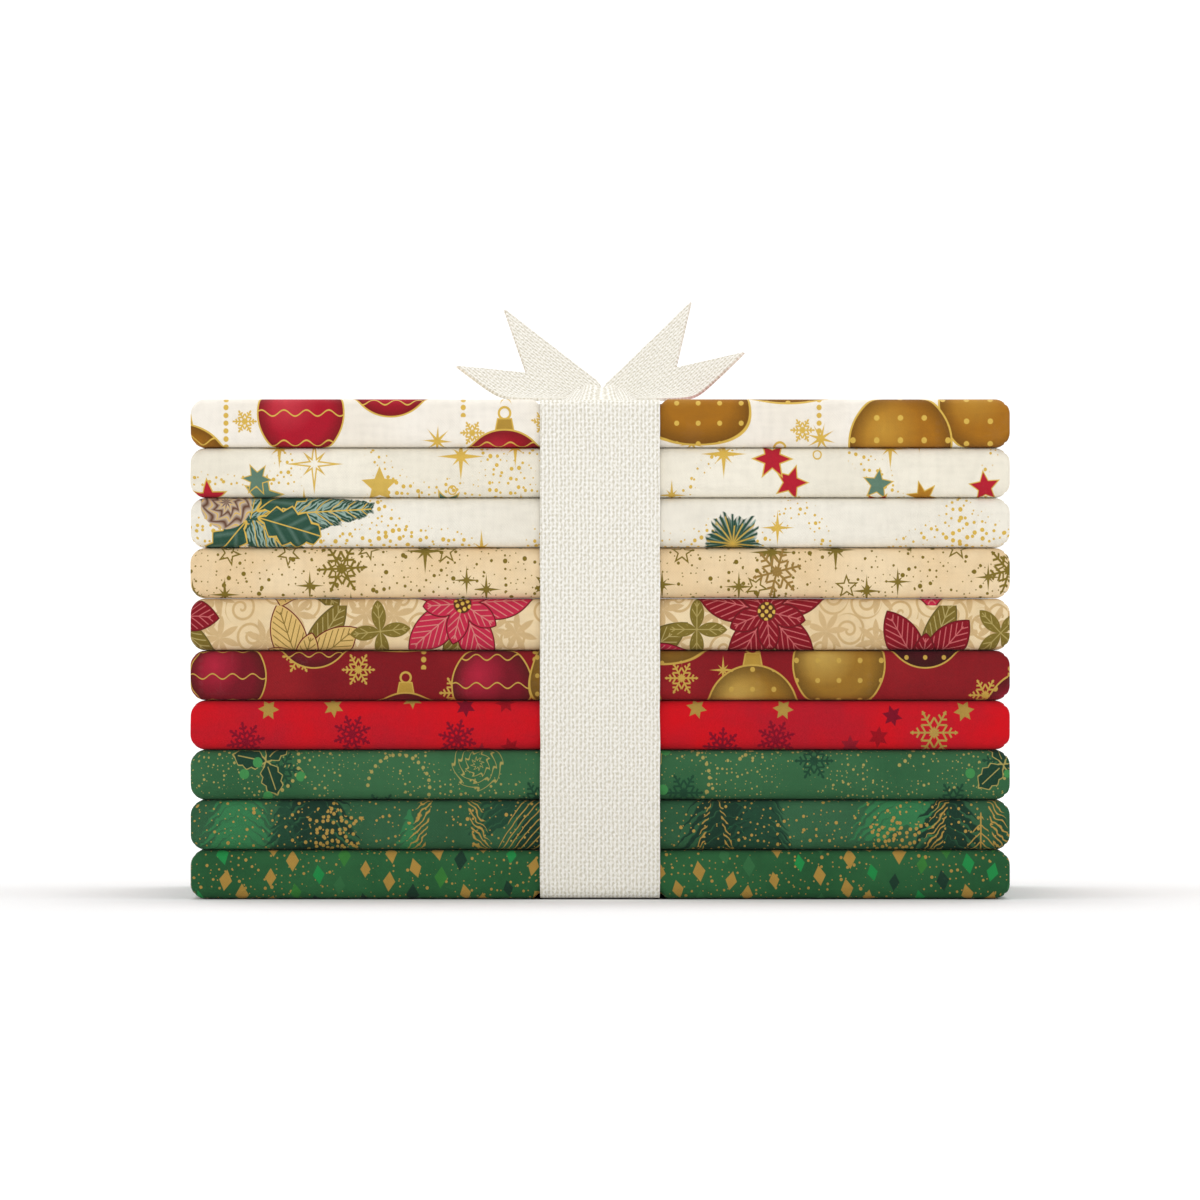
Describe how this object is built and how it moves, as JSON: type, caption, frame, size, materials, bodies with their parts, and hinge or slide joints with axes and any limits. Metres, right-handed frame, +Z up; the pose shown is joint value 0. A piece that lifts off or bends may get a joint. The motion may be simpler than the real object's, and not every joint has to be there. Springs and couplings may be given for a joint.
{
  "type": "half-yard fabric bundle",
  "caption": "Stack of folded printed cotton cloths held round the middle by a flat woven ribbon, knotted on top, with its swallowtail ends standing up.",
  "frame": {"origin": "under the middle of the stack, on the surface that it rests on", "axes": "+X along the folds, which is the long side, the rounded fold fronts face -Y, and +Z is up"},
  "size_m": [0.2286, 0.1422, 0.169],
  "materials": {
    "pale_bauble_print": "ivory cotton printed with red, gold and green baubles",
    "pale_star_print": "ivory cotton printed with small scattered stars",
    "pale_spray_print": "ivory cotton printed with evergreen sprays and gold dots",
    "peach_snowflake_print": "peach cotton printed with olive-gold snowflakes",
    "cream_poinsettia_print": "cream cotton printed with burgundy, rose and gold poinsettias",
    "crimson_bauble_print": "crimson cotton printed with gold and maroon baubles",
    "red_star_print": "bright red cotton printed with dark snowflakes and gold stars",
    "green_holly_print": "green cotton printed with holly and gold dots",
    "green_fir_print": "green cotton printed with fir trees and gold branches",
    "green_lozenge_print": "dark green cotton printed with small lozenges",
    "ribbon_weave": "plain woven undyed cotton ribbon"
  },
  "bodies": {
    "root": {"cloth_01_pale_baubles": "pale_bauble_print", "cloth_02_pale_stars": "pale_star_print", "cloth_03_pale_sprays": "pale_spray_print", "cloth_04_peach_snowflakes": "peach_snowflake_print", "cloth_05_cream_poinsettias": "cream_poinsettia_print", "cloth_06_crimson_baubles": "crimson_bauble_print", "cloth_07_red_stars": "red_star_print", "cloth_08_green_holly": "green_holly_print", "cloth_09_green_firs": "green_fir_print", "cloth_10_green_lozenges": "green_lozenge_print", "tie_ribbon": "ribbon_weave"}
  },
  "joints": []
}
